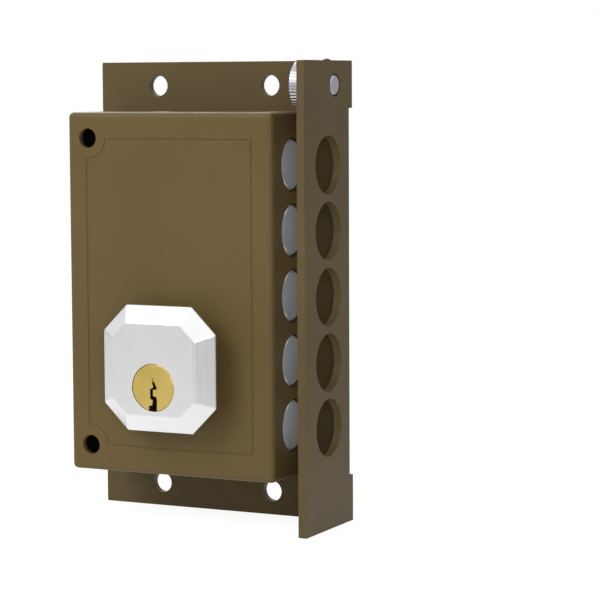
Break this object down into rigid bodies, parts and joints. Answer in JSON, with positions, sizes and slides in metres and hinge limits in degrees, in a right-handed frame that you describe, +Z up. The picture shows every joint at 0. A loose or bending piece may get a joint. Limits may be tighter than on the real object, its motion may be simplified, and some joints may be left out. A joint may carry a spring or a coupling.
{
  "type": "rim box lock",
  "caption": "Surface-mounted box lock with a row of round bolts thrown through its bent flange, an eight-sided locking knob inside and a key cylinder with a fin outside.",
  "frame": {"origin": "middle of the four door screws, on the face of the base plate that lies on the door", "axes": "+X towards the edge of the door, the way the bolts are thrown; +Y into the door; +Z up"},
  "size_m": [0.0875, 0.0999, 0.1435],
  "materials": {
    "bronze_paint_plate": "satin bronze-brown enamel on sheet steel",
    "bronze_paint_cover": "satin bronze-brown enamel on sheet steel",
    "bolt_steel": "turned and ground steel",
    "knob_metal": "satin chrome on zinc casting",
    "plug_brass": "turned brass",
    "cylinder_brass": "milled brass",
    "pin_brass": "turned brass",
    "bush_brass": "turned brass",
    "nickel": "polished nickel plate",
    "zinc_steel": "zinc-plated steel",
    "zinc_screw": "bright zinc-plated steel",
    "spring_steel": "drawn spring wire",
    "thumb_metal": "knurled, zinc-plated steel"
  },
  "bodies": {
    "lock_case": {"base_plate": "bronze_paint_plate", "cover": "bronze_paint_cover", "cover_screws": "zinc_screw", "door_screw_sleeves": "zinc_steel", "front_guide": "zinc_steel", "middle_guide": "zinc_steel", "knob_bush": "bush_brass", "cylinder_flange": "nickel", "cylinder_fixing_screws": "zinc_screw", "outer_cylinder_body": "cylinder_brass", "cylinder_bolt": "zinc_screw", "outer_driver_pins": "pin_brass", "outer_pin_springs": "spring_steel", "outer_chamber_plugs": "cylinder_brass", "thumb_washer": "zinc_steel"},
    "bolt_carriage": {"bolt_1": "bolt_steel", "bolt_2": "bolt_steel", "bolt_3": "bolt_steel", "bolt_4": "bolt_steel", "bolt_5": "bolt_steel", "carriage_bar": "zinc_steel", "bolt_screws": "zinc_screw", "rack": "zinc_steel", "rack_screws": "zinc_screw", "talon_plate": "zinc_steel", "talon_rivets": "zinc_steel"},
    "knob_assembly": {"knob": "knob_metal", "spindle": "zinc_steel", "spindle_screws": "zinc_screw", "drive_pinion": "zinc_steel", "inner_driver_pins": "pin_brass", "inner_pin_springs": "spring_steel"},
    "inner_lock_plug": {"inner_plug": "plug_brass", "inner_key_pins": "pin_brass", "knob_lock_cam": "zinc_steel"},
    "knob_locking_pin": {"knob_lock_pin": "zinc_steel"},
    "outer_lock_plug": {"outer_plug": "plug_brass", "outer_key_pins": "pin_brass", "key_cam": "zinc_steel", "cam_screw": "zinc_screw"},
    "thumb_screw": {"thumb_screw": "thumb_metal"}
  },
  "joints": [
    {"name": "knob_turn", "type": "hinge", "parent": "lock_case", "child": "knob_assembly", "pos_m": [0.0004, -0.03, -0.0218], "axis": [0, 1, 0], "range_deg": [0, 180]},
    {"name": "bolt_throw", "type": "slide", "parent": "lock_case", "child": "bolt_carriage", "axis": [1, 0, 0], "range_m": [0, 0.02356]},
    {"name": "inner_key_turn", "type": "hinge", "parent": "knob_assembly", "child": "inner_lock_plug", "pos_m": [0.0004, -0.036, -0.0271], "axis": [0, 1, 0], "range_deg": [0, 90]},
    {"name": "knob_lock", "type": "slide", "parent": "knob_assembly", "child": "knob_locking_pin", "axis": [0, 0, 1], "range_m": [0, 0.002]},
    {"name": "outer_key_turn", "type": "hinge", "parent": "lock_case", "child": "outer_lock_plug", "pos_m": [0.0004, 0.03, -0.0271], "axis": [0, 1, 0], "range_deg": [-120, 120]},
    {"name": "thumb_turn", "type": "hinge", "parent": "lock_case", "child": "thumb_screw", "pos_m": [0.0397, -0.0123, 0.06405], "axis": [1, 0, 0], "continuous": true}
  ],
  "couplings": [
    {"joint": "knob_turn", "follows": "bolt_throw", "rad_per_m": 133.33},
    {"joint": "inner_key_turn", "follows": "knob_lock", "rad_per_m": 785.4}
  ]
}
